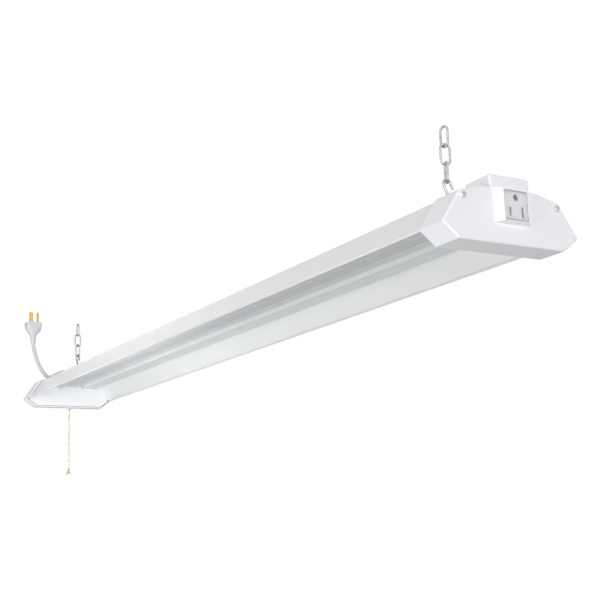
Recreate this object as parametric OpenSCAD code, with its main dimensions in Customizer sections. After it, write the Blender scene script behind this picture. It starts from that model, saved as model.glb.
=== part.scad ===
// Hanging shop light: folded steel housing, two lens strips, moulded end caps with a
// linking outlet and a pull switch, hung on two short chains.
// Fixture frame inside the modules: X across, Y along from the outlet end, Z up from
// the underside of the end caps. The drawn origin is midway between the two chains,
// at the height where their top links bear on the ceiling hooks.

/* [Housing] */
// Length over both end caps
fixture_len = 1100; // [1060:10:1220]
// Half width at the open lip of the housing
lip_half = 67.8; // [66:0.2:68]
// Height of the open lip
lip_z = 12.3; // [12:0.1:13]
// Half width of the roof
roof_half = 49.6; // [48:0.1:49.7]
// Height of the roof's top face
roof_z = 38.8; // [38.4:0.1:39]
// Thickness of the housing steel
sheet_t = 0.8; // [0.6:0.1:1]
// Height of the reflector ceiling's upper face
ceiling_z = 36.4; // [36:0.1:36.6]
// Thickness of the reflector steel
pan_t = 0.6; // [0.4:0.1:0.8]

/* [End caps] */
// Depth of each cap along the light
cap_depth = 31; // [29:1:34]
// Half width at the cap's widest line
cap_wide_half = 70.1; // [70:0.1:71]
// Height of the widest line
cap_wide_z = 12.1; // [11:0.1:13]
// Half width of the cap's flat underside
cap_base_half = 54.4; // [50:0.2:58]
// Thickness of the moulded walls
cap_wall = 1.4; // [1.2:0.1:1.4]
// Half width of the raised block on top
block_half = 20.5; // [19:0.5:22]
// Height of the raised block
block_top = 56.7; // [54:0.1:60]

/* [Optics] */
// Distance of each lens strip from the middle
lens_x = 34; // [33:0.5:35]
// Height of the lens strips' underside
lens_z = 31.4; // [30.6:0.2:32]
// Number of light chips on each board
chip_count = 72; // [24:2:84]
// Number of ribs on each side of the wire cover
rib_count = 8; // [4:1:9]

/* [Hanging] */
// Distance of the first chain from the outlet end
near_hang_y = 81; // [70:1:120]
// Distance of the second chain from the cord end
far_hang_gap = 55; // [50:1:110]
// Wire diameter of the chain
link_wire = 2.2; // [2:0.1:2.4]
// Outside length of one chain link
link_len = 21; // [20:0.5:24]
// Outside width of one chain link
link_w = 11; // [10.5:0.5:12]
// Wire diameter of the S hooks
hook_wire = 2.5; // [2:0.1:2.6]

/* [Pull switch] */
// Number of beads below the cap
bead_count = 23; // [12:1:40]
// Diameter of one bead
bead_d = 3.2; // [3:0.1:3.2]

/* [Power cord] */
// Diameter of the power cord
cord_d = 6; // [5.6:0.1:6.2]

/* [Hidden] */
$fn = 32;
eps = 0.05;

// Where the two chains stand, and the drawn origin
far_hang_y = fixture_len - far_hang_gap;
hook_top_z = 77;
link_gap = 0.08;
link_step = link_len - 2 * link_wire - link_gap;
hang_z = hook_top_z + 3 * link_step;
origin = [0, (near_hang_y + far_hang_y) / 2, hang_z];

// ---- profiles and small tools ----

function mirrored(half) = concat(half, [for (i = [len(half) - 1:-1:0]) [-half[i][0], half[i][1]]]);
function unit(v) = v / norm(v);
function left_of(v) = [-v[1], v[0]];
// Corner between two edge directions, moved sideways by d so both edges move by d
function mitre(p, a, b, d) = p + d * (left_of(a) + left_of(b)) / (1 + a * b);
// An open line of points moved sideways by d
function beside(p, d) = [for (i = [0:len(p) - 1])
    let (a = i > 0 ? unit(p[i] - p[i - 1]) : unit(p[1] - p[0]),
         b = i < len(p) - 1 ? unit(p[i + 1] - p[i]) : a)
    mitre(p[i], a, b, d)];
// A closed outline moved inward by d (outlines run anticlockwise)
function inset(p, d) = [for (i = [0:len(p) - 1])
    let (n = len(p), a = unit(p[i] - p[(i + n - 1) % n]), b = unit(p[(i + 1) % n] - p[i]))
    mitre(p[i], a, b, d)];
// A bent sheet: the line and the same line moved to its left by the sheet's thickness
function bent(p, t) = let (q = beside(p, t)) concat(p, [for (i = [len(q) - 1:-1:0]) q[i]]);
// One flat of a bent sheet, from corner i to the next, cut at the middle of its folds
function flat(p, t, i) = let (q = beside(p, t)) [p[i], p[i + 1], q[i + 1], q[i]];

module placed() {
    translate(-origin) children();
}

// A profile drawn in X and Z, drawn out along Y
module along_y(y0, y1) {
    translate([0, y1, 0]) rotate([90, 0, 0]) linear_extrude(height = y1 - y0) children();
}

// A round bar along Y
module rod_y(x, z, r, y0, y1, fn = 24) {
    translate([x, y0, z]) rotate([-90, 0, 0]) cylinder(r = r, h = y1 - y0, $fn = fn);
}

// A solid between two convex outlines with the same number of points, at y0 and y1
module loft_y(a, b, y0, y1) {
    n = len(a);
    polyhedron(
        points = concat([for (p = a) [p[0], y0, p[1]]], [for (p = b) [p[0], y1, p[1]]]),
        faces = concat([[for (i = [n - 1:-1:0]) i]], [[for (i = [0:n - 1]) n + i]],
            [for (i = [0:n - 1]) [i, (i + 1) % n, n + (i + 1) % n, n + i]]));
}

module ball(p, r) {
    translate(p) sphere(r = r, $fn = 16);
}

// A straight wire between two points in the XZ plane
module wire(a, b, r) {
    d = b - a;
    translate([a[0], 0, a[1]]) rotate([0, atan2(d[0], d[1]), 0]) cylinder(r = r, h = norm(d), $fn = 16);
}

// A bent wire in the XZ plane: centre, radius, start angle and turn, in degrees
module wire_arc(c, radius, start, turn, r) {
    translate([c[0], 0, c[1]]) rotate([90, 0, 0]) rotate([0, 0, start])
        rotate_extrude(angle = turn, $fn = 32) translate([radius, 0]) circle(r = r, $fn = 16);
}

// ---- housing and reflector ----

body_start = 11;
body_end = fixture_len - body_start;
notch_half = 17.5;
notch_depth = 13.5;
hem_r = 1.1;
hem_gap = 0.4;
hem_at = [lip_half - 0.6, lip_z + 0.4];
// Outer line of the folded housing, from the right lip over the roof to the left one
housing_line = [[lip_half, lip_z], [roof_half, roof_z], [-roof_half, roof_z], [-lip_half, lip_z]];
wall_dir = unit(housing_line[1] - housing_line[0]);
// The reflector follows the housing wall, inside its sheet and a small gap
wing_gap = 0.2;
wing_foot = housing_line[0] + left_of(wall_dir) * (sheet_t + wing_gap);
function wing_point(z) = [wing_foot[0] + (z - wing_foot[1]) * wall_dir[0] / wall_dir[1], z];
reflector_line = mirrored([wing_point(lip_z + 1.3), wing_point(ceiling_z)]);

// Both ends are notched: the outlet and the cord pass up into the raised blocks there
module end_notches(z0, z1) {
    for (y = [body_start - 1, body_end - notch_depth])
        translate([-notch_half, y, z0]) cube([2 * notch_half, notch_depth + 1, z1 - z0]);
}

module housing_roof() {
    color("whitesmoke") placed() difference() {
        along_y(body_start, body_end) polygon(flat(housing_line, sheet_t, 1));
        end_notches(roof_z - 3, roof_z + 1);
    }
}

module housing_side(side) {
    color("whitesmoke") placed() union() {
        along_y(body_start, body_end) polygon(flat(housing_line, sheet_t, side > 0 ? 0 : 2));
        // Rolled hem of the open lip, between the caps
        rod_y(side * hem_at[0], hem_at[1], hem_r, cap_depth + hem_gap,
            fixture_len - cap_depth - hem_gap, 16);
    }
}

module reflector_ceiling() {
    color("white") placed() difference() {
        along_y(body_start, body_end) polygon(flat(reflector_line, pan_t, 1));
        end_notches(ceiling_z - 2, ceiling_z + 1);
    }
}

module reflector_wing(side) {
    color("white") placed()
        along_y(body_start, body_end) polygon(flat(reflector_line, pan_t, side > 0 ? 0 : 2));
}

// ---- wire cover and wiring ----

strip_start = 30;
strip_end = fixture_len - 15.4;
under_pan = ceiling_z - pan_t;
cover_half = 15;
cover_z = 33;
cover_t = 0.8;
rib_first = 4.2;
rib_pitch = 1.25;
rib_h = 0.5;

// A folded channel whose two feet stand flat against the reflector
module channel(foot_half, face_half, face_z, t) {
    slope = unit([foot_half - face_half, under_pan - face_z]);
    over = foot_half + slope[0];
    intersection() {
        polygon(bent([[-over, under_pan + slope[1]], [-face_half, face_z],
            [face_half, face_z], [over, under_pan + slope[1]]], t));
        translate([-over, face_z]) square([2 * over, under_pan - face_z]);
    }
}

module wire_cover() {
    color("gainsboro") placed() along_y(strip_start, strip_end) difference() {
        union() {
            channel(cover_half, cover_half - 1.1, cover_z, cover_t);
            for (s = [-1, 1], i = [0:rib_count - 1])
                translate([s * (rib_first + i * rib_pitch), cover_z])
                    polygon([[-0.45, 0.1], [-0.2, -rib_h], [0.2, -rib_h], [0.45, 0.1]]);
        }
        // Seam along the middle
        translate([-0.3, cover_z - 0.1]) square([0.6, 0.4]);
    }
}

module through_wires() {
    for (w = [[-4, "black"], [0, "green"], [4, "white"]])
        color(w[1]) placed() rod_y(w[0], cover_z + cover_t + 1, 0.85, strip_start + 1, strip_end - 1, 16);
}

// ---- lens strips, boards and light chips ----

lens_foot_half = 13.4;
lens_face_half = 10.8;
lens_t = 1;
board_half = 9;
board_t = 1;
chip = [3, 2.8, 0.8];

module lens(side) {
    color("aliceblue", 0.8) placed() translate([side * lens_x, 0, 0])
        along_y(strip_start, strip_end) channel(lens_foot_half, lens_face_half, lens_z, lens_t);
}

module led_board(side) {
    color("ivory") placed()
        translate([side * lens_x - board_half, strip_start + 2, under_pan - board_t])
            cube([2 * board_half, strip_end - strip_start - 4, board_t]);
}

module led_chips(side) {
    pitch = (strip_end - strip_start - 10) / chip_count;
    color("gold") placed()
        for (i = [0:chip_count - 1])
            translate([side * lens_x - chip[0] / 2, strip_start + 5 + (i + 0.5) * pitch - chip[1] / 2,
                under_pan - board_t - chip[2]]) cube(chip);
}

// ---- end caps ----

cap_shoulder = [52.6, 38.2];
cap_roof = [50.3, 40.3];
cap_crown = [27.8, 46.2];
block_bevel = 1.5;
face_bevel = 1.2;
cap_body = [[cap_base_half, 0], [cap_wide_half, cap_wide_z], cap_shoulder, cap_roof, cap_crown,
    [block_half, cap_crown[1] + 0.3]];
cap_block = [[block_half, cap_roof[1]], [block_half, block_top - block_bevel],
    [block_half - block_bevel, block_top]];
cap_outline = mirrored(concat(cap_body, [cap_block[1], cap_block[2]]));
cap_inner = inset(cap_outline, cap_wall);
cap_screw = [48.5, 35.7];
screw_r = 1.9;

// Shell of a cap, open towards the light, with its moulded face at y = 0
module cap_shell() {
    difference() {
        union() {
            for (part = [mirrored(cap_body), mirrored(cap_block)])
                loft_y(inset(part, face_bevel), part, 0, face_bevel);
            along_y(face_bevel - eps, cap_depth) polygon(cap_outline);
        }
        along_y(cap_wall + 0.6, cap_depth + 1) polygon(cap_inner);
        for (s = [-1, 1])
            rod_y(s * cap_screw[0], cap_screw[1], screw_r + 0.2, -1, 5);
    }
    // Wall that closes the raised block above the housing's roof
    translate([-block_half + 0.5, cap_depth - cap_wall, roof_z + 0.1])
        cube([2 * block_half - 1, cap_wall, block_top - roof_z - 1]);
}

// Raised surround of the outlet
boss_out = 6.5;
boss_base = [[19.1, 16.2], [19.1, 46.4], [-19.1, 46.4], [-19.1, 16.2]];
boss_face = [[12.6, 17.4], [12.6, 43.9], [-12.6, 43.9], [-12.6, 17.4]];
outlet_half = 11.6;
outlet_low = 19.3;
outlet_high = 42;
// Gap around the outlet's face: beside it, and above and below it
outlet_gap = [0.2, 1.2];
slot_z = 25.4;

module end_cap_outlet() {
    color("white") placed() difference() {
        union() {
            cap_shell();
            loft_y(boss_face, boss_base, -boss_out, 0.6);
        }
        // Opening for the outlet's face, and the room for its body
        translate([-outlet_half - outlet_gap[0], -boss_out - 1, outlet_low - outlet_gap[1]])
            cube([2 * (outlet_half + outlet_gap[0]), boss_out + 4,
                outlet_high - outlet_low + 2 * outlet_gap[1]]);
        loft_y(inset(boss_face, 1.5), inset(boss_base, 2.2), -boss_out + 1.6, cap_wall + 1.5);
    }
}

// Below the housing's lip this cap is only as deep as its skirt, and the end plate closes it there
skirt_depth = 16;

module end_cap_cord() {
    color("white") placed() difference() {
        translate([0, fixture_len, 0]) mirror([0, 1, 0]) cap_shell();
        translate([-cap_wide_half - 1, fixture_len - cap_depth - 1, -1])
            cube([2 * cap_wide_half + 2, cap_depth - skirt_depth + 1, cap_wide_z + 1]);
        // Hole for the cord's strain relief, in the wall of the raised block
        rod_y(relief[0], relief[2], relief_neck_r + 0.1, relief[1] - 1, relief[1] + cap_wall + 1);
        // Hole for the switch's threaded neck, in the underside
        translate([pull_at[0], pull_at[1], -1]) cylinder(r = nipple_r + 0.1, h = cap_wall + 2, $fn = 32);
    }
}

// Inner plate that closes a cap below the lens strips
plate_outline = mirrored([[53, 2.2], [64.4, 10.9], [64.4, 13.9], [50, 35.4]]);
plate_t = 1.2;
near_plate_y = 28;
far_plate_y = fixture_len - 15;

module end_plate(y) {
    color("white") placed() difference() {
        along_y(y, y + plate_t) polygon(plate_outline);
        for (s = [-1, 1], x = peg_x)
            rod_y(s * (lens_x + x), lens_z - peg_drop, peg_r + 0.05, y - 1, y + plate_t + 1);
    }
}

// Moulded holders: a shelf that carries each lens end, with a post between lens and wire cover
holder_t = 2.6;
shelf = [[-15, -0.1], [-15, -3.9], [7.5, -3.9], [9.5, -1.9], [9.5, -0.1]];
post = [-17.2, -14.4];
post_low = 25.8;
peg_x = [-10, 6];
peg_drop = 2;
peg_r = 1.2;

// A holder standing on a plate's face at y = 0, its pegs through the plate
module lens_holder() {
    union() {
        along_y(0, holder_t) translate([lens_x, 0]) {
            translate([0, lens_z]) polygon(shelf);
            translate([post[0], post_low]) square([post[1] - post[0], under_pan - 0.1 - post_low]);
        }
        for (x = peg_x)
            rod_y(lens_x + x, lens_z - peg_drop, peg_r, -plate_t - 1, 0.5);
    }
}

module lens_holders(far) {
    color("white") placed()
        translate([0, far ? far_plate_y : near_plate_y + plate_t, 0]) mirror([0, far ? 1 : 0, 0])
            for (s = [0, 1]) mirror([s, 0, 0]) lens_holder();
}

// ---- outlet ----

pin_gap = 12.7;
ground_rise = 11.9;
slot_w = 2.1;
hot_h = 7;
neutral_h = 8.4;
ground_r = 2.5;
outlet_face_y = -6.2;
outlet_neck = [[10.8, 20.1], [10.8, 41.2]];
outlet_body = [[14.2, 15.6], [14.2, 45.2]];
outlet_back = 17;
slot_depth = 16;
contact_y = 4.2;
contact_room = [4.4, 8, 9.2];
contact = [3.8, 7.4, 8];
contact_t = 0.6;

module receptacle() {
    color("whitesmoke") placed() difference() {
        union() {
            translate([-outlet_half, outlet_face_y, outlet_low])
                cube([2 * outlet_half, 4, outlet_high - outlet_low]);
            along_y(cap_wall + 1, outlet_back) polygon(mirrored(outlet_body));
            along_y(outlet_face_y + 1.8, cap_wall + 2) polygon(mirrored(outlet_neck));
        }
        translate([-pin_gap / 2 - slot_w / 2, outlet_face_y - 1, slot_z - hot_h / 2])
            cube([slot_w, slot_depth + 1, hot_h]);
        translate([pin_gap / 2 - slot_w / 2, outlet_face_y - 1, slot_z - neutral_h / 2])
            cube([slot_w, slot_depth + 1, neutral_h]);
        rod_y(0, slot_z + ground_rise, ground_r, outlet_face_y - 1, outlet_face_y + slot_depth);
        // Room for the spring contacts behind the slots
        for (s = [-1, 1])
            translate([s * pin_gap / 2 - contact_room[0] / 2, contact_y - 0.2,
                slot_z - contact_room[2] / 2]) cube(contact_room);
    }
}

module receptacle_contacts() {
    color("goldenrod") placed()
        for (s = [-1, 1])
            translate([s * pin_gap / 2 - contact[0] / 2, contact_y, slot_z - contact[2] / 2]) difference() {
                cube(contact);
                translate([contact_t, -1, -1])
                    cube([contact[0] - 2 * contact_t, contact[1] + 1 - contact_t, contact[2] + 2]);
            }
}

// ---- drivers, in the outlet cap on both sides of the outlet ----

driver_at = [18.5, 5, 5];
driver_size = [30, 21, 24];
driver_ear = [6, 21, 3];
driver_back = [20, 1, 12];

module driver(side) {
    color("dimgray") placed() mirror([side < 0 ? 1 : 0, 0, 0]) translate(driver_at) {
        cube(driver_size);
        // Ledge that stands on the cap's sloping side, and the raised back cover
        translate([driver_size[0] - eps, 0, 3]) cube(driver_ear);
        translate([4, driver_size[1] - eps, 7]) cube(driver_back);
    }
}

// ---- screws and brackets that hold the caps ----

head_r = 3.3;
head_h = 1.7;
slot_len = 3.8;
slot_t = 0.7;
bracket_t = 1.2;
bracket_x = 41;
bracket_w = 9.4;
bracket_len = 17;
bracket_low = 31;
bracket_y = body_start - 0.4 - bracket_t;

module cap_screw_pair() {
    for (s = [-1, 1]) translate([s * cap_screw[0], 0, cap_screw[1]]) difference() {
        union() {
            rod_y(0, 0, screw_r, -0.5, body_start - 0.4);
            rotate([90, 0, 0]) cylinder(r1 = head_r, r2 = head_r - 0.9, h = head_h);
        }
        // Cross slot
        for (a = [45, 135]) rotate([0, a, 0])
            translate([-slot_len / 2, -head_h - 0.1, -slot_t / 2]) cube([slot_len, slot_t + 0.2, slot_t]);
    }
}

module cap_screws(far) {
    color("silver") placed()
        translate([0, far ? fixture_len : 0, 0]) mirror([0, far ? 1 : 0, 0]) cap_screw_pair();
}

// Small steel angles between the roof and the reflector: the cap screws bite into them
module bracket_pair() {
    for (s = [-1, 1]) mirror([s < 0 ? 1 : 0, 0, 0]) difference() {
        union() {
            translate([bracket_x, bracket_y, bracket_low])
                cube([bracket_w, bracket_t, ceiling_z + 0.2 + bracket_t - bracket_low]);
            translate([bracket_x, bracket_y, ceiling_z + 0.2])
                cube([bracket_w - 2, bracket_len, bracket_t]);
        }
        rod_y(cap_screw[0], cap_screw[1], screw_r + 0.05, bracket_y - 1, bracket_y + bracket_t);
    }
}

module screw_brackets(far) {
    color("lightsteelblue") placed()
        translate([0, far ? fixture_len : 0, 0]) mirror([0, far ? 1 : 0, 0]) bracket_pair();
}

// ---- hangers: bent-up ear, S hook and three links each ----

hook_r = hook_wire / 2;
curl_r = 4;
hook_top = hook_top_z + hook_r;
hook_tilt = 25;
leg_len = 5.7;
leg_chamfer = 0.5;
neck_len = 9.3;
// Middle of the S, below the centre of the upper curl
hook_mid = [neck_len * sin(hook_tilt) - curl_r * cos(hook_tilt),
    hook_top - curl_r - neck_len * cos(hook_tilt) - curl_r * sin(hook_tilt)];
hook_low = 2 * hook_mid - [0, hook_top];
ear_hole_r = 4;
ear_hole_z = hook_low[1] + hook_r + 0.08 - ear_hole_r;
ear_r = 7.5;
ear_t = 1.2;
foot_len = 14;
rivet_at = [-8, 4.5];
// Place along the light, and turn about Z, of each hanger and its hook
near_hanger = [near_hang_y, 0];
far_hanger = [far_hang_y, 42];

module at_hanger(h) {
    translate([0, h[0], 0]) rotate([0, 0, h[1]]) children();
}

module hanger_bracket(h) {
    color("gainsboro") placed() at_hanger(h) difference() {
        union() {
            translate([hook_low[0] - ear_t / 2, 0, ear_hole_z]) rotate([0, 90, 0])
                cylinder(r = ear_r, h = ear_t);
            translate([hook_low[0] - ear_t / 2, -ear_r, roof_z])
                cube([ear_t, 2 * ear_r, ear_hole_z - roof_z]);
            translate([hook_low[0] + ear_t / 2 - foot_len, -ear_r, roof_z])
                cube([foot_len, 2 * ear_r, ear_t]);
        }
        translate([hook_low[0] - ear_t, 0, ear_hole_z]) rotate([0, 90, 0])
            cylinder(r = ear_hole_r, h = 2 * ear_t);
    }
}

module bracket_rivets() {
    color("silver") placed()
        for (h = [near_hanger, far_hanger], s = [-1, 1])
            at_hanger(h) translate([rivet_at[0], s * rivet_at[1], roof_z + ear_t]) intersection() {
                translate([0, 0, -1.8]) sphere(r = 3, $fn = 24);
                cylinder(r = 2.6, h = 2, $fn = 24);
            }
}

// One end of the S, from its middle: half of the middle stroke, curl and open leg
module hook_half() {
    rotate([-90, 0, 0]) cylinder(r = hook_r, h = neck_len, $fn = 16);
    translate([curl_r, neck_len, 0]) {
        rotate_extrude(angle = 180, $fn = 32) translate([curl_r, 0]) circle(r = hook_r, $fn = 16);
        translate([curl_r, 0, 0]) rotate([90, 0, 0]) {
            cylinder(r = hook_r, h = leg_len, $fn = 16);
            translate([0, 0, leg_len])
                cylinder(r1 = hook_r, r2 = hook_r - leg_chamfer, h = leg_chamfer, $fn = 16);
        }
    }
}

module hook(h) {
    color("silver") placed() at_hanger(h)
        translate([hook_mid[0], 0, hook_mid[1]]) rotate([90, 0, 0]) rotate([0, 0, hook_tilt])
            for (a = [0, 180]) rotate([0, 0, a]) hook_half();
}

// A link standing upright, its plane turned about Z; its lower bow passes under the bow below
bow_r = (link_w - link_wire) / 2;

module link(y, index, turn) {
    low = hook_top_z + index * link_step - link_wire / 2 - link_gap;
    side = link_len - link_w;
    color("silver") placed() translate([0, y, low + bow_r]) rotate([0, 0, turn]) difference() {
        union() {
            wire_arc([0, 0], bow_r, 180, 180, link_wire / 2);
            wire_arc([0, side], bow_r, 0, 180, link_wire / 2);
            for (s = [-1, 1]) wire([s * bow_r, 0], [s * bow_r, side], link_wire / 2);
        }
        // Butt joint of the bent wire
        translate([bow_r, 0, side / 2]) rotate([0, 20, 0])
            cube([2 * link_wire, 2 * link_wire, 0.3], center = true);
    }
}

near_link_turns = [66, -15, 98];
far_link_turns = [110, 0, 90];

// ---- pull switch, chain and bell ----

pull_at = [3, fixture_len - 7.4];
nipple_r = 3.1;
nipple_bore_r = bead_d / 2 + 0.3;
nipple_end = -2.4;
switch_low = 8;
switch_size = [20, 8.8, 22];
chamber_r = 2.9;
chamber_low = 4;
chamber_h = 16;
collar_low = 14;
collar_h = 5;
bead_pitch = 4.1;
first_bead = nipple_end - 2;
last_bead = first_bead - (bead_count - 1) * bead_pitch;

module pull_switch() {
    color("saddlebrown") placed() translate([pull_at[0], pull_at[1], switch_low]) difference() {
        translate([-switch_size[0] / 2, -switch_size[1] / 2 - 0.2, 0]) cube(switch_size);
        translate([0, 0, -1]) cylinder(r = nipple_bore_r, h = chamber_low + 2);
        translate([0, 0, chamber_low]) cylinder(r = chamber_r, h = chamber_h);
    }
}

module switch_nipple() {
    color("silver") placed() translate([pull_at[0], pull_at[1], 0]) difference() {
        union() {
            translate([0, 0, nipple_end + 1]) cylinder(r = nipple_r, h = switch_low - nipple_end - 1);
            translate([0, 0, nipple_end]) cylinder(r1 = nipple_r - 0.6, r2 = nipple_r, h = 1);
            translate([0, 0, -1.4]) cylinder(r = 4.6, h = 1.4, $fn = 6);
        }
        translate([0, 0, nipple_end - 1]) cylinder(r = nipple_bore_r, h = switch_low - nipple_end + 2);
    }
}

// Sliding part in the switch, with the beads that stay in the neck
module pull_plunger() {
    color("goldenrod") placed() translate([pull_at[0], pull_at[1], 0]) {
        stem_low = first_bead + bead_pitch;
        translate([0, 0, switch_low + collar_low]) cylinder(r = chamber_r - 0.4, h = collar_h);
        translate([0, 0, stem_low]) cylinder(r = 0.8, h = switch_low + collar_low + 1 - stem_low, $fn = 16);
        for (i = [1:2]) ball([0, 0, first_bead + i * bead_pitch], bead_d / 2);
    }
}

module pull_chain() {
    color("gold") placed() translate([pull_at[0], pull_at[1], 0]) {
        for (i = [0:bead_count - 1]) ball([0, 0, first_bead - i * bead_pitch], bead_d / 2);
        translate([0, 0, last_bead]) cylinder(r = 0.5, h = first_bead - last_bead, $fn = 16);
    }
}

bell_h = 10.5;

module pull_bell() {
    top = last_bead - bead_d / 2 - 0.05;
    color("goldenrod") placed() translate([pull_at[0], pull_at[1], top - bell_h])
        rotate_extrude($fn = 32) polygon([[0, 2.2], [2.6, 0], [4.2, 0], [4.25, 1.2], [3.9, 1.7], [3.2, 4.2],
            [2.6, 6.4], [2.3, 8.2], [1.8, 9.4], [0, 10.5]]);
}

// ---- power cord, kept short on the roof in a tied hank ----

cord_r = cord_d / 2;
relief = [13, fixture_len - cap_depth, 48.5];
relief_len = 26;
relief_neck_r = 4.6;
hank_c = [23, fixture_len - 154];
hank_len = 138;
hank_w = 54;
hank_low = 39.8;
hank_h = 18.6;
tie_t = 0.8;
tie_w = 4;
plug_at = [-38, fixture_len + 58, 116];

// Free stretches of the cord, laid by hand, measured from the cord end of the light
lead_route = [[13, -57, 48.5], [13, -63, 48.5], [12.4, -71, 48.8], [10.6, -79, 49.7], [7.8, -87, 51.1],
    [4.6, -95, 52.8], [1.8, -102, 54.1], [-0.2, -108, 54.9], [-1, -114, 55.3], [-1, -120, 55.3]];
run_route = [[18, -88, 42.9], [9, -88, 42.7], [0.6, -88, 42.4], [-9.3, -86, 42.2], [-17.8, -80.4, 42.1],
    [-23.4, -72, 42.1], [-25.4, -62, 42.4], [-25.4, -53, 43.9], [-25.4, -44, 46.8], [-25.4, -34, 49.4],
    [-25.2, -24, 49.8], [-25, -12, 49.6], [-25, 0, 49.6], [-25.2, 10, 50.6], [-26.2, 20, 54],
    [-28, 29, 60.4], [-30.6, 37.6, 69.4], [-33.4, 45.6, 81], [-35.8, 52, 95], [-37.4, 56.4, 108],
    plug_at - [0, fixture_len, 0]];

function along_cord_end(p) = [for (q = p) [q[0], fixture_len + q[1], q[2]]];
// The routes run along -X, Y and +Z, and this direction is never close to any of them
function across(t) = unit(cross(t, [1, 1, -1]));
function route_dir(p, i) = unit(p[min(i + 1, len(p) - 1)] - p[max(i - 1, 0)]);

// A round tube swept along a route, one ring at each point
module cord_tube(p, r, sides = 10) {
    n = len(p);
    rings = [for (i = [0:n - 1]) let (t = route_dir(p, i), u = across(t), v = cross(t, u))
        for (k = [0:sides - 1]) p[i] + r * (cos(360 * k / sides) * u + sin(360 * k / sides) * v)];
    polyhedron(points = rings, faces = concat(
        [[for (k = [0:sides - 1]) k]], [[for (k = [sides - 1:-1:0]) (n - 1) * sides + k]],
        [for (i = [0:n - 2], k = [0:sides - 1]) let (j = (k + 1) % sides)
            [i * sides + k, (i + 1) * sides + k, (i + 1) * sides + j, i * sides + j]]));
}

module strain_relief() {
    color("white") placed() translate(relief) rotate([90, 0, 0]) difference() {
        union() {
            cylinder(r1 = 6.2, r2 = 5.6, h = 2.4);
            translate([0, 0, 2.4]) cylinder(r1 = 5.4, r2 = 4.1, h = relief_len - 2.4);
            translate([0, 0, -cap_wall - 2]) cylinder(r = relief_neck_r, h = cap_wall + 2.2);
        }
        for (z = [5:3:21]) translate([0, 0, z]) difference() {
            cylinder(r = 7, h = 1);
            cylinder(r = 4, h = 1);
        }
    }
}

module cord_lead() {
    color("gainsboro") placed() cord_tube(along_cord_end(lead_route), cord_r);
}

module cord_run() {
    color("gainsboro") placed() cord_tube(along_cord_end(run_route), cord_r);
}

module stadium(len, w) {
    half = (len - w) / 2;
    square([w, 2 * half], center = true);
    for (s = [-1, 1]) translate([0, s * half]) circle(r = w / 2, $fn = 48);
}

module cord_hank() {
    color("gainsboro") placed() translate([hank_c[0], hank_c[1], hank_low])
        linear_extrude(height = hank_h) stadium(hank_len, hank_w);
}

module hank_tie() {
    gap = 0.1;
    color("dimgray") placed() translate([hank_c[0], hank_c[1] - tie_w / 2, hank_low - gap]) difference() {
        translate([-hank_w / 2 - gap - tie_t, 0, -tie_t])
            cube([hank_w + 2 * (gap + tie_t), tie_w, hank_h + 2 * (gap + tie_t)]);
        translate([-hank_w / 2 - gap, -1, 0]) cube([hank_w + 2 * gap, tie_w + 2, hank_h + 2 * gap]);
    }
}

// ---- plug ----

plug_tail = 14;
plug_h = 18;
plug_w = 25;
plug_d = 20;
blade_len = 17;
plug_face = plug_tail + plug_h;

module plug_body() {
    color("gainsboro") placed() translate(plug_at) {
        translate([0, 0, -2]) cylinder(r1 = 3.9, r2 = 5.6, h = plug_tail + 2.2);
        hull() {
            translate([0, 0, plug_tail - 3]) cylinder(r = 5.6, h = 1);
            for (x = [-1, 1]) translate([x * (plug_w / 2 - 7), 0, plug_tail + 6]) cylinder(r = 7, h = 1);
            // The face that meets the outlet, square with rounded corners
            for (x = [-1, 1], y = [-1, 1])
                translate([x * (plug_w / 2 - 4), y * (plug_d / 2 - 4), plug_face - 3])
                    cylinder(r = 4, h = 3);
        }
    }
}

module plug_blades() {
    color("gold") placed() translate(plug_at) for (s = [-1, 1])
        translate([s * pin_gap / 2 - 0.75, -3.2 - ground_rise / 3, plug_face])
            difference() {
                cube([1.5, 6.4, blade_len]);
                translate([-1, 3.2, blade_len - 4.5]) rotate([0, 90, 0]) cylinder(r = 1.6, h = 4, $fn = 20);
            }
}

module plug_ground_pin() {
    color("gold") placed() translate(plug_at + [0, ground_rise * 2 / 3, plug_face]) {
        cylinder(r = 2.4, h = 18.5, $fn = 32);
        translate([0, 0, 18.5]) cylinder(r1 = 2.4, r2 = 1.5, h = 1.6, $fn = 32);
    }
}

housing_roof();
housing_side(-1);  // housing_side_left
housing_side(1);  // housing_side_right
reflector_ceiling();
reflector_wing(-1);  // reflector_wing_left
reflector_wing(1);  // reflector_wing_right
wire_cover();
through_wires();
lens(-1);  // lens_left
lens(1);  // lens_right
led_board(-1);  // led_board_left
led_board(1);  // led_board_right
led_chips(-1);  // led_chips_left
led_chips(1);  // led_chips_right
end_cap_outlet();
end_cap_cord();
end_plate(near_plate_y);  // end_plate_near
end_plate(far_plate_y);  // end_plate_far
lens_holders(false);  // lens_holders_near
lens_holders(true);  // lens_holders_far
receptacle();
receptacle_contacts();
driver(-1);  // driver_left
driver(1);  // driver_right
cap_screws(false);  // cap_screws_near
cap_screws(true);  // cap_screws_far
screw_brackets(false);  // screw_brackets_near
screw_brackets(true);  // screw_brackets_far
hanger_bracket(near_hanger);  // hanger_bracket_near
hanger_bracket(far_hanger);  // hanger_bracket_far
bracket_rivets();
hook(near_hanger);  // hook_near
link(near_hang_y, 0, near_link_turns[0]);  // link_near_1
link(near_hang_y, 1, near_link_turns[1]);  // link_near_2
link(near_hang_y, 2, near_link_turns[2]);  // link_near_3
hook(far_hanger);  // hook_far
link(far_hang_y, 0, far_link_turns[0]);  // link_far_1
link(far_hang_y, 1, far_link_turns[1]);  // link_far_2
link(far_hang_y, 2, far_link_turns[2]);  // link_far_3
pull_switch();
switch_nipple();
pull_plunger();
pull_chain();
pull_bell();
strain_relief();
cord_lead();
cord_hank();
cord_run();
hank_tie();
plug_body();
plug_blades();
plug_ground_pin();
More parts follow.
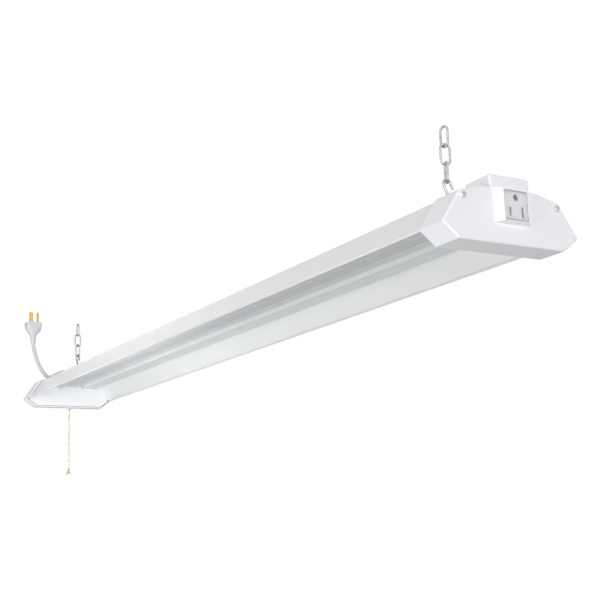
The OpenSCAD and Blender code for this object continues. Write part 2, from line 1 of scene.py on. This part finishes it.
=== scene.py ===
"""Looks of the hanging shop light: camera, finishes, power cord, outlet flange and studio."""
import math

import bmesh
import bpy
from mathutils import Matrix, Vector


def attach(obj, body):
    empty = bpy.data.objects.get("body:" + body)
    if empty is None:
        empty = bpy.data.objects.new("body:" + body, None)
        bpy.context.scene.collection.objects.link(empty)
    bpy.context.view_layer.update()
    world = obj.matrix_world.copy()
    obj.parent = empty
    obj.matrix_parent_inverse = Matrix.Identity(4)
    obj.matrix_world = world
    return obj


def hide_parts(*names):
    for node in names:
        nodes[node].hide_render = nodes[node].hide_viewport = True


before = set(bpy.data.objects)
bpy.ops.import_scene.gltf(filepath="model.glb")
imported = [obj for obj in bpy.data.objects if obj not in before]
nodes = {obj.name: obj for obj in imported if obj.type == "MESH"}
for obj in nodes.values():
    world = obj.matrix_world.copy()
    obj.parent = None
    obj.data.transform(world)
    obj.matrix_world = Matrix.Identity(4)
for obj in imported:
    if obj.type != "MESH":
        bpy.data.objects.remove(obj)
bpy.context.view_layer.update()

# The row frame's origin in the fixture's own frame, which is in mm: X across, Y from the outlet
# end, Z up from the caps' underside
ORIGIN = (0.0, 563.0, 126.56)
LENGTH = 1100.0

WHITE = (1, 1, 1, 1)
EVEN = (1, 1, 1)


def row(x, y, z):
    """A point of the fixture's frame, in mm, as metres in the row frame."""
    return Vector([(value - origin) / 1000 for value, origin in zip((x, y, z), ORIGIN)])


def add_object(name, data):
    """A new object in the scene."""
    o = bpy.data.objects.new(name, data)
    bpy.context.scene.collection.objects.link(o)
    return o


def mesh_object(name, bm):
    """A new object with the mesh of bm, which is freed."""
    mesh = bpy.data.meshes.new(name)
    bm.to_mesh(mesh)
    bm.free()
    return add_object(name, mesh)


# ---- camera -------------------------------------------------------------------------------------

# Fitted to the photograph's edges; the lens is 1150 pixels on a picture 600 wide
CAM_AT = row(-597.13, -681.78, -230.72)
CAM_RIGHT = Vector((0.8669, -0.4973, -0.0332))
CAM_DOWN = Vector((0.0765, 0.1987, -0.9771))
CAM_AHEAD = Vector((0.4925, 0.8445, 0.2103))
CAM_LENS = 69.0
CAM_SENSOR = 36.0
CAM_NEAR = 0.01
CAM_FAR = 60


def add_camera():
    data = bpy.data.cameras.new("camera")
    data.sensor_width = CAM_SENSOR
    data.lens = CAM_LENS
    data.clip_start = CAM_NEAR
    data.clip_end = CAM_FAR
    camera = add_object("camera", data)
    turn = Matrix((CAM_RIGHT, -CAM_DOWN, -CAM_AHEAD)).transposed().to_4x4()
    camera.matrix_world = Matrix.Translation(CAM_AT) @ turn
    bpy.context.scene.camera = camera


add_camera()

# ---- material tools -----------------------------------------------------------------------------

# Detail and roughness of the noise behind a broad tone, a scuffed roughness and a surface grain
TONE_NOISE = (3.0, 0.5)
SCUFF_NOISE = (5.0, 0.6)
GRAIN_NOISE = (4.0, 0.5)
SCUFF_RATIO = 9             # scuffs are this many times finer than the tone
GRAIN_STRENGTH = 0.35
RAMP_ENDS = (0.3, 0.7)
BEVEL_SAMPLES = 6
COAT_ROUGH = 0.25
ROUGH_LEAST = 0.02
LINE_INNER, LINE_OUTER = 0.4, 1.6   # a line's soft edge, in its half widths


def set_inputs(node, values):
    for socket, value in values.items():
        node.inputs[socket].default_value = value


def add_node(tree, kind, values=None):
    """A new shader node with its inputs set."""
    node = tree.nodes.new("ShaderNode" + kind)
    set_inputs(node, values or {})
    return node


def math_node(tree, operation, a, b=None):
    """A Math node's output; a and b are sockets or numbers."""
    node = add_node(tree, "Math")
    node.operation = operation
    for socket, value in zip(node.inputs, (a, b)):
        if isinstance(value, float):
            socket.default_value = value
        elif value is not None:
            tree.links.new(value, socket)
    return node.outputs[0]


def shader_of(material):
    return material.node_tree.nodes["Principled BSDF"]


def new_material(name):
    """A material, its node tree and its shader."""
    material = bpy.data.materials.new(name)
    material.use_nodes = True
    return material, material.node_tree, shader_of(material)


def noise(tree, scale, detail, rough, stretch=EVEN):
    """Noise in object space; the pieces' object space is the row frame, in metres."""
    coord = add_node(tree, "TexCoord")
    mapping = add_node(tree, "Mapping", {"Scale": stretch})
    texture = add_node(tree, "TexNoise", {"Scale": scale, "Detail": detail, "Roughness": rough})
    tree.links.new(coord.outputs["Object"], mapping.inputs["Vector"])
    tree.links.new(mapping.outputs["Vector"], texture.inputs["Vector"])
    return texture.outputs["Fac"]


def ramp(tree, factor, low, high):
    """A colour ramp between two colours or two greys."""
    node = add_node(tree, "ValToRGB")
    for element, position, value in zip(node.color_ramp.elements, RAMP_ENDS, (low, high)):
        element.position = position
        element.color = (*value, 1) if isinstance(value, tuple) else (value, value, value, 1)
    tree.links.new(factor, node.inputs["Fac"])
    return node.outputs["Color"]


def bump(tree, shader, height, strength, distance, under=None):
    """The shader's normal from a height, over the normal under it where there is one."""
    node = add_node(tree, "Bump", {"Strength": strength, "Distance": distance})
    tree.links.new(height, node.inputs["Height"])
    if under is not None:
        tree.links.new(under, node.inputs["Normal"])
    tree.links.new(node.outputs["Normal"], shader.inputs["Normal"])
    return node.outputs["Normal"]


def round_edges(tree, radius):
    """A normal that shades the edges as if they were rounded."""
    node = add_node(tree, "Bevel", {"Radius": radius})
    node.samples = BEVEL_SAMPLES
    return node.outputs["Normal"]


def srgb(hexa):
    """#rrggbb as linear values."""
    out = []
    for i in (1, 3, 5):
        c = int(hexa[i:i + 2], 16) / 255
        out.append(c / 12.92 if c <= 0.04045 else ((c + 0.055) / 1.055) ** 2.4)
    return tuple(out)


def tones(tree, shader, colour, vary, scale, stretch):
    """The base colour: #rrggbb, varied by a broad noise."""
    low, high = (tuple(max(0.0, min(1.0, c * amount)) for c in srgb(colour))
                 for amount in (1 - vary, 1 + vary))
    tree.links.new(ramp(tree, noise(tree, scale, *TONE_NOISE, stretch), low, high),
                   shader.inputs["Base Color"])


def finish(name, colour, rough, vary, grain, grain_depth, rough_vary=0.06, stretch=EVEN,
           metallic=0.0, broad=14.0, coat=0.0, specular=0.5, edge=0.0):
    """A finish with broad tone variation, varied roughness and a fine surface grain.

    broad and grain are noise scales, and grain_depth and edge, the radius of its edges, are
    in metres.
    """
    material, tree, shader = new_material(name)
    tones(tree, shader, colour, vary, broad, stretch)
    scuff = noise(tree, broad * SCUFF_RATIO, *SCUFF_NOISE, stretch)
    smooth, dull = max(ROUGH_LEAST, rough - rough_vary), min(1.0, rough + rough_vary)
    tree.links.new(ramp(tree, scuff, smooth, dull), shader.inputs["Roughness"])
    bump(tree, shader, noise(tree, grain, *GRAIN_NOISE, stretch), GRAIN_STRENGTH, grain_depth,
         round_edges(tree, edge) if edge else None)
    set_inputs(shader, {"Metallic": metallic, "Specular IOR Level": specular})
    if coat:
        set_inputs(shader, {"Coat Weight": coat, "Coat Roughness": COAT_ROUGH})
    return material


def paint_shade_lines(material, lines):
    """Painted shade: soft darker lines along Y in the base colour.

    Each line is its x, its half width, its depth from 0 to 1, and whether it is mirrored.
    """
    tree, shader = material.node_tree, shader_of(material)
    coord = add_node(tree, "TexCoord")
    split = add_node(tree, "SeparateXYZ")
    tree.links.new(coord.outputs["Object"], split.inputs[0])
    for at, half, depth, mirrored in lines:
        x = split.outputs["X"]
        if mirrored:
            x = math_node(tree, "ABSOLUTE", x)
        off = math_node(tree, "ABSOLUTE", math_node(tree, "SUBTRACT", x, at))
        level = add_node(tree, "MapRange", {
            "From Min": half * LINE_INNER, "From Max": half * LINE_OUTER,
            "To Min": 1 - depth, "To Max": 1.0})
        level.interpolation_type = "SMOOTHSTEP"
        tree.links.new(off, level.inputs["Value"])
        times = add_node(tree, "VectorMath")
        times.operation = "SCALE"
        base = shader.inputs["Base Color"]
        tree.links.new(base.links[0].from_socket, times.inputs[0])
        tree.links.new(level.outputs["Result"], times.inputs["Scale"])
        tree.links.new(times.outputs["Vector"], base)


# ---- finishes -----------------------------------------------------------------------------------

# Where a lens folds from its face to its flank, from the middle in X, in metres; a band of painted
# shade darkens it there
LENS_FOLD = (0.026, 0.029)
LENS_FOLD_SHADE_DEPTH = 0.07
LENS_TONE_VARY = 0.02
LENS_TONE_SCALE = 10
LENS_TONE_STRETCH = (1, 0.3, 1)
FLUTE_SCALE = 180
FLUTE_STRENGTH, FLUTE_DEPTH = 0.2, 0.00005
FROST_NOISE = (3.0, 0.5)
FROST_SCALE = 1400
FROST_STRENGTH, FROST_DEPTH = 0.25, 0.00003
# The cover's two faint lines of painted shade: in its left band of ribs, and beside its middle
# seam
COVER_SHADE_LINES = [(-0.008, 0.0017, 0.08, False), (0.0005, 0.0017, 0.09, False)]


def frosted(name, colour):
    """Frosted acrylic with fine lengthwise flutes and painted shade along the fold between face
    and flank.
    """
    material, tree, shader = new_material(name)
    tones(tree, shader, colour, LENS_TONE_VARY, LENS_TONE_SCALE, LENS_TONE_STRETCH)
    inner, outer = LENS_FOLD
    # Painted shade along the fold between the lens's face and flank
    paint_shade_lines(material, [((inner + outer) / 2, (outer - inner) / 2, LENS_FOLD_SHADE_DEPTH, True)])
    coord = add_node(tree, "TexCoord")
    wave = add_node(tree, "TexWave", {"Scale": FLUTE_SCALE})
    wave.bands_direction = "X"
    tree.links.new(coord.outputs["Object"], wave.inputs["Vector"])
    flutes = bump(tree, shader, wave.outputs["Fac"], FLUTE_STRENGTH, FLUTE_DEPTH)
    frost = noise(tree, FROST_SCALE, *FROST_NOISE)
    bump(tree, shader, frost, FROST_STRENGTH, FROST_DEPTH, under=flutes)
    set_inputs(shader, {"Roughness": 0.38, "Coat Weight": 0.25, "Coat Roughness": 0.2})
    return material


LOOKS = {
    # Baked enamel: a soft orange peel
    "housing": finish("enamel_housing", "#e4e4e6", 0.42, 0.015, 520, 0.00006, coat=0.15,
                      edge=0.0004),
    "pan": finish("enamel_pan", "#eef0f0", 0.38, 0.015, 520, 0.00006, coat=0.2),
    "plate": finish("plate_enamel", "#e8eaec", 0.45, 0.02, 600, 0.00005, edge=0.0003),
    # Plastics and rubber
    "cover": finish("cover_plastic", "#e0e2e4", 0.5, 0.03, 700, 0.00005, stretch=(1, 0.2, 1)),
    "cap": finish("cap_plastic", "#ededf1", 0.5, 0.015, 1500, 0.00005, edge=0.00022),
    "outlet": finish("outlet_nylon", "#e2e2e6", 0.32, 0.02, 1200, 0.00002, edge=0.0004),
    "driver": finish("driver_case", "#3c3d40", 0.6, 0.1, 600, 0.00008),
    "phenolic": finish("switch_phenolic", "#4a3226", 0.45, 0.15, 500, 0.00005),
    "jacket": finish("cord_jacket", "#d2d2d3", 0.55, 0.02, 700, 0.00002, specular=0.35),
    "tie": finish("tie_nylon", "#2c2c2e", 0.45, 0.1, 900, 0.00004),
    "wires": finish("wire_jacket", "#38383a", 0.5, 0.2, 900, 0.00003),
    "relief": finish("relief_rubber", "#cfcfd2", 0.55, 0.04, 900, 0.00006),
    "lens": frosted("lens_acrylic", "#e8ecec"),
    # Light boards
    "board": finish("solder_mask", "#ececec", 0.4, 0.03, 600, 0.00002),
    "phosphor": finish("phosphor_gel", "#f2dc7a", 0.3, 0.05, 900, 0.00002),
    # Metals
    "zinc": finish("zinc_plate", "#a9aaad", 0.46, 0.1, 420, 0.00002, 0.08, metallic=1.0,
                   broad=60),
    "screw": finish("screw_steel", "#cfd0d2", 0.5, 0.12, 900, 0.00003, 0.08, metallic=0.55,
                    broad=90),
    "brass": finish("plain_brass", "#c9a85a", 0.3, 0.12, 700, 0.00003, 0.1, metallic=1.0,
                    broad=60),
    "beads": finish("bead_brass", "#cbcbaa", 0.24, 0.15, 700, 0.00002, 0.1, metallic=1.0,
                    broad=80),
}

# Painted shade: two faint darker lines along the cover
paint_shade_lines(LOOKS["cover"], COVER_SHADE_LINES)
# Light passes a little way into the outlet's nylon
set_inputs(shader_of(LOOKS["outlet"]), {
    "Subsurface Weight": 0.8, "Subsurface Scale": 0.006, "Subsurface Radius": (1.0, 1.0, 1.0)})

WORN_BY = {
    "housing": ["housing_roof", "housing_side_left", "housing_side_right"],
    "pan": ["reflector_ceiling", "reflector_wing_left", "reflector_wing_right"],
    "plate": ["end_plate_near", "end_plate_far"],
    "cover": ["wire_cover"],
    "cap": ["end_cap_outlet", "end_cap_cord", "lens_holders_near", "lens_holders_far"],
    "outlet": ["receptacle"],
    "driver": ["driver_left", "driver_right"],
    "phenolic": ["pull_switch"],
    "jacket": ["cord_lead", "cord_hank", "cord_run", "plug_body"],
    "tie": ["hank_tie"],
    "wires": ["through_wires"],
    "relief": ["strain_relief"],
    "lens": ["lens_left", "lens_right"],
    "board": ["led_board_left", "led_board_right"],
    "phosphor": ["led_chips_left", "led_chips_right"],
    "zinc": ["hanger_bracket_near", "hook_near", "link_near_1", "link_near_2", "link_near_3",
             "hanger_bracket_far", "hook_far", "link_far_1", "link_far_2", "link_far_3",
             "screw_brackets_near", "screw_brackets_far"],
    "screw": ["cap_screws_near", "cap_screws_far", "bracket_rivets", "switch_nipple"],
    "brass": ["receptacle_contacts", "plug_blades", "plug_ground_pin"],
    "beads": ["pull_plunger", "pull_chain", "pull_bell"],
}
LOOK_OF = {name: look for look, names in WORN_BY.items() for name in names}

for name, node in nodes.items():
    node.data.materials.clear()
    node.data.materials.append(LOOKS[LOOK_OF[name]])
    for polygon in node.data.polygons:
        polygon.material_index = 0

# ---- the power cord -----------------------------------------------------------------------------

# The route is part.scad's, in mm. In LEAD and RUN, Y is from the cord end
CORD_D = 6.0
LEAD = [(13, -57, 48.5), (13, -63, 48.5), (12.4, -71, 48.8), (10.6, -79, 49.7), (7.8, -87, 51.1),
        (4.6, -95, 52.8), (1.8, -102, 54.1), (-0.2, -108, 54.9)]
RUN = [(18, -88, 42.9), (9, -88, 42.7), (0.6, -88, 42.4), (-9.3, -86, 42.2), (-17.8, -80.4, 42.1),
       (-23.4, -72, 42.1), (-25.4, -62, 42.4), (-25.4, -53, 43.9), (-25.4, -44, 46.8),
       (-25.4, -34, 49.4), (-25.2, -24, 49.8), (-25, -12, 49.6), (-25, 0, 49.6), (-25.2, 10, 50.6),
       (-26.2, 20, 54), (-28, 29, 60.4), (-30.6, 37.6, 69.4), (-33.4, 45.6, 81), (-35.8, 52, 95),
       (-37.4, 56.4, 108), (-38, 58, 116)]
HANK_X, HANK_Y, HANK_RUN = 23.0, 946.0, 84.0
OUTER, INNER = 24.0, 18.0
TOP, MID, LOW = 55.3, 49.1, 42.9
STRAIGHT_STEPS = 5
FOLD_STEPS = 8
EXIT_STEPS = 4
# The hank's straight runs in their order: X from its middle, and Z at the start and the end
HANK_RUNS = [(-OUTER, TOP, TOP), (OUTER, TOP, TOP), (-INNER, TOP, TOP), (INNER, TOP, MID),
             (-INNER, MID, MID), (OUTER, MID, MID), (-OUTER, MID, LOW), (OUTER, LOW, LOW)]
TUBE_RESOLUTION = 6
TUBE_SIDES = 5


def straight(x, y_from, y_to, z_from, z_to):
    """A run along Y that changes its height smoothly."""
    for i in range(STRAIGHT_STEPS + 1):
        t = i / STRAIGHT_STEPS
        s = t * t * (3 - 2 * t)
        yield x, y_from + (y_to - y_from) * t, z_from + (z_to - z_from) * s


def arc(x, y, z, radius, start, sweep, steps):
    """Points on an arc round x, y at one height, without its first; angles in degrees."""
    for i in range(1, steps + 1):
        a = math.radians(start + sweep * i / steps)
        yield x + radius * math.cos(a), y + radius * math.sin(a), z


def hank():
    """Two nested turns on top, inner and outer turns on the two layers below, and the way off."""
    ends = HANK_Y + HANK_RUN / 2, HANK_Y - HANK_RUN / 2
    points = []
    for i, (side, z_from, z_to) in enumerate(HANK_RUNS):
        y_from, y_to = ends if i % 2 == 0 else ends[::-1]
        points += straight(HANK_X + side, y_from, y_to, z_from, z_to)
        if i + 1 < len(HANK_RUNS):
            # A half turn to the next run, whose first point is the arc's last
            x, x_next = HANK_X + side, HANK_X + HANK_RUNS[i + 1][0]
            start = 180 if x_next > x else 0
            fold = arc((x + x_next) / 2, y_to, z_to, abs(x_next - x) / 2, start, 180, FOLD_STEPS)
            points += list(fold)[:-1]
    # A quarter turn, and off across the roof
    points += arc(HANK_X, ends[0], LOW, OUTER, 0, 90, EXIT_STEPS)
    return points


def from_cord_end(points):
    return [row(x, LENGTH + y, z) for x, y, z in points]


def with_handles(points):
    """Each point with the Bezier handles before and after it, for one smooth curve."""
    knots = []
    for i, p in enumerate(points):
        before = points[max(i - 1, 0)]
        after = points[min(i + 1, len(points) - 1)]
        way = (after - before).normalized()
        knots.append((p, p - way * ((p - before).length / 3), p + way * ((after - p).length / 3)))
    return knots


def curve_piece(name, knots, diameter):
    """A round tube on one open smooth spline through the knots."""
    data = bpy.data.curves.new(name, "CURVE")
    data.dimensions = "3D"
    spline = data.splines.new("BEZIER")
    spline.bezier_points.add(len(knots) - 1)
    for point, (at, left, right) in zip(spline.bezier_points, knots):
        point.co = at
        point.handle_left_type = point.handle_right_type = "FREE"
        point.handle_left = left
        point.handle_right = right
    data.resolution_u = TUBE_RESOLUTION
    data.bevel_depth = diameter / 2
    data.bevel_resolution = TUBE_SIDES
    data.use_fill_caps = True
    return add_object(name, data)


cord_line = from_cord_end(LEAD) + [row(*p) for p in hank()] + from_cord_end(RUN)
cord_knots = with_handles(cord_line)
power_cord = curve_piece("power_cord", cord_knots, CORD_D / 1000)
power_cord.data.materials.append(LOOKS["jacket"])
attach(power_cord, "fixture")
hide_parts("cord_lead", "cord_hank", "cord_run")

# ---- the outlet's snap flange, which closes the gap round its face ------------------------------

# Rectangles as x0, z0, x1, z1, and a range of Y, in mm
OUTLET_OPENING = (-11.8, 18.1, 11.8, 43.2)
OUTLET_FACE = (-11.6, 19.3, 11.6, 42.0)
FLANGE_Y = (-5.4, -4.6)


def frame_piece(name, outer, inner, depth):
    """A flat frame across Y, between two rectangles."""
    bm = bmesh.new()
    rings = []
    for y in depth:
        for x0, z0, x1, z1 in (outer, inner):
            corners = ((x0, z0), (x1, z0), (x1, z1), (x0, z1))
            rings.append([bm.verts.new(row(x, y, z)) for x, z in corners])
    out_a, in_a, out_b, in_b = rings
    for i in range(4):
        j = (i + 1) % 4
        for p, q in ((out_a, in_a), (in_a, in_b), (in_b, out_b), (out_b, out_a)):
            bm.faces.new((p[i], p[j], q[j], q[i]))
    bmesh.ops.recalc_face_normals(bm, faces=bm.faces)
    return mesh_object(name, bm)


flange = frame_piece("outlet_flange", OUTLET_OPENING, OUTLET_FACE, FLANGE_Y)
flange.data.materials.append(LOOKS["outlet"])
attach(flange, "fixture")

# ---- floor, background and light ----------------------------------------------------------------

FLOOR_Z = -3.6
FLOOR_HALF = 40
FLOOR_COLOUR = (0.66, 0.66, 0.66, 1)
FLOOR_ROUGH = 0.9
FLOOR_GLOW = 0.72           # how far it goes to white where it is seen directly
WORLD_LIGHT = 0.23

# Each lamp's name, its place, what it points at, its width and height in metres, and its watts
LAMPS = [
    ("front", (-0.9, -6.2, -0.45), (0, 0, -0.1), 4.0, 1.2, 212),
    ("side", (-5.2, -0.8, 0.9), (0, -0.2, -0.1), 3.0, 2.0, 49),
    ("side_low", (-2.7, -0.2, -0.75), (0, 0, -0.1), 3.0, 0.6, 9),
    ("left_low", (-0.85, -0.52, -0.45), (0, -0.1, -0.1), 0.8, 0.5, 4.0),
    ("far_end", (-0.32, 0.2, -0.33), (0.05, 0.48, -0.1), 0.3, 0.2, 0.72),
    ("top", (0.9, -0.6, 4.5), (0, 0, 0), 3.0, 3.0, 46),
    ("right", (5.2, 0.4, 0.7), (0, 0, -0.1), 3.0, 2.0, 48),
    ("back", (1.8, 5.6, 1.8), (0, 0, 0), 3.0, 2.0, 60),
]


def seen_directly(tree):
    """1 for camera, mirror and lens rays, and 0 for the rays that only carry light."""
    path = add_node(tree, "LightPath").outputs
    either = math_node(tree, "MAXIMUM", path["Is Camera Ray"], path["Is Glossy Ray"])
    return math_node(tree, "MAXIMUM", either, path["Is Transmission Ray"])


def mix_to(tree, surface, factor, first, second):
    """Puts a mix of two shaders on a surface socket."""
    mix = add_node(tree, "MixShader")
    for source, socket in zip((factor, first.outputs[0], second.outputs[0]), mix.inputs):
        tree.links.new(source, socket)
    tree.links.new(mix.outputs[0], surface)


def stage_floor():
    """A floor that is paler where it is seen directly, and still takes the object's shadow."""
    bm = bmesh.new()
    bmesh.ops.create_grid(bm, x_segments=1, y_segments=1, size=FLOOR_HALF)
    floor = mesh_object("floor", bm)
    floor.location = (0, 0, FLOOR_Z)
    material, tree, shader = new_material("floor_white")
    set_inputs(shader, {"Base Color": FLOOR_COLOUR, "Roughness": FLOOR_ROUGH})
    glow = add_node(tree, "Emission", {"Color": WHITE, "Strength": 1.0})
    paler = math_node(tree, "MULTIPLY", seen_directly(tree), FLOOR_GLOW)
    mix_to(tree, tree.nodes["Material Output"].inputs["Surface"], paler, shader, glow)
    floor.data.materials.append(material)


def studio_world():
    """A white background that lights the object at a low level."""
    world = bpy.data.worlds.new("studio")
    bpy.context.scene.world = world
    world.use_nodes = True
    tree = world.node_tree
    tree.nodes.clear()
    out = add_node(tree, "OutputWorld")
    lit = add_node(tree, "Background", {"Color": WHITE, "Strength": WORLD_LIGHT})
    seen = add_node(tree, "Background", {"Color": WHITE, "Strength": 1.0})
    mix_to(tree, out.inputs["Surface"], seen_directly(tree), lit, seen)


def area_lamp(name, at, towards, width, height, watts):
    data = bpy.data.lights.new(name, "AREA")
    data.shape = "RECTANGLE"
    data.size = width
    data.size_y = height
    data.energy = watts
    lamp = add_object(name, data)
    lamp.location = at
    lamp.rotation_euler = (Vector(towards) - Vector(at)).to_track_quat("-Z", "Y").to_euler()
    lamp.visible_camera = False


stage_floor()
studio_world()
for lamp in LAMPS:
    area_lamp(*lamp)

bpy.context.scene.view_settings.view_transform = "Standard"
